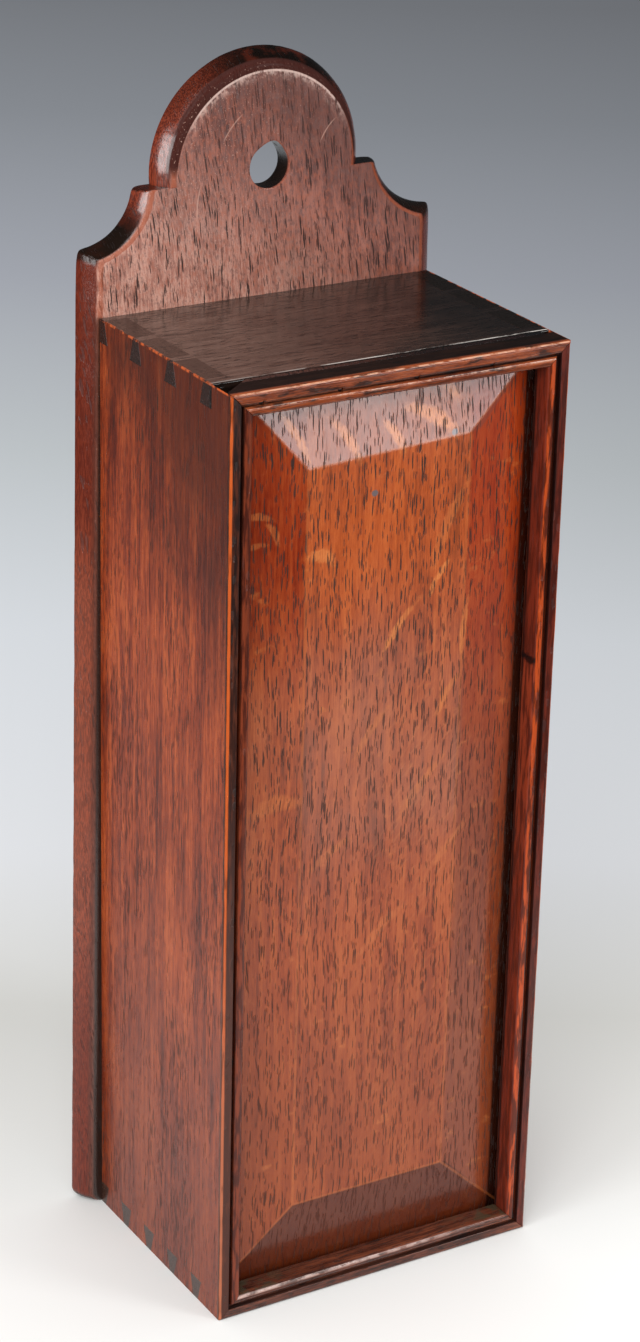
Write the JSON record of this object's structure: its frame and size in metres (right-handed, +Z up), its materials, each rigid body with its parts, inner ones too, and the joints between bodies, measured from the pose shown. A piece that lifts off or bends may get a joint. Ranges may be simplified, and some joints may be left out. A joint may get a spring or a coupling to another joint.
{
  "type": "candle box",
  "caption": "Tall wall-hanging oak candle box with a shaped, pierced crest and a fielded lid that slides up out of moulded side grooves.",
  "frame": {"origin": "on the underside, below the middle of the whole box's width and depth", "axes": "+Z up, along the lid's travel; -Y out of the lid's face, towards the front; +Y into the wall; +X to the right seen from the front"},
  "size_m": [0.159, 0.1076, 0.465],
  "materials": {
    "backboard_oak": "old waxed oak, pinkish brown with dark open pores",
    "side_oak": "old waxed oak, deep red-brown, arrises worn orange",
    "top_oak": "old waxed oak, almost black with handling and dust",
    "sill_oak": "old waxed oak, dark brown, polished bead",
    "panel_oak": "old waxed oak, orange-brown with golden medullary flecks",
    "rail_oak": "old waxed oak, orange-brown, polished bead",
    "nail_iron": "hand-made iron, dark and lightly rusted"
  },
  "bodies": {
    "case": {"backboard": "backboard_oak", "left_side": "side_oak", "right_side": "side_oak", "top_board": "top_oak", "bottom_board": "sill_oak", "back_nails": "nail_iron"},
    "lid": {"lid_panel": "panel_oak", "lid_rail": "rail_oak", "rail_brads": "nail_iron"}
  },
  "joints": [
    {"name": "lid_slide", "type": "slide", "parent": "case", "child": "lid", "axis": [0, 0, 1], "range_m": [0, 0.36]}
  ]
}
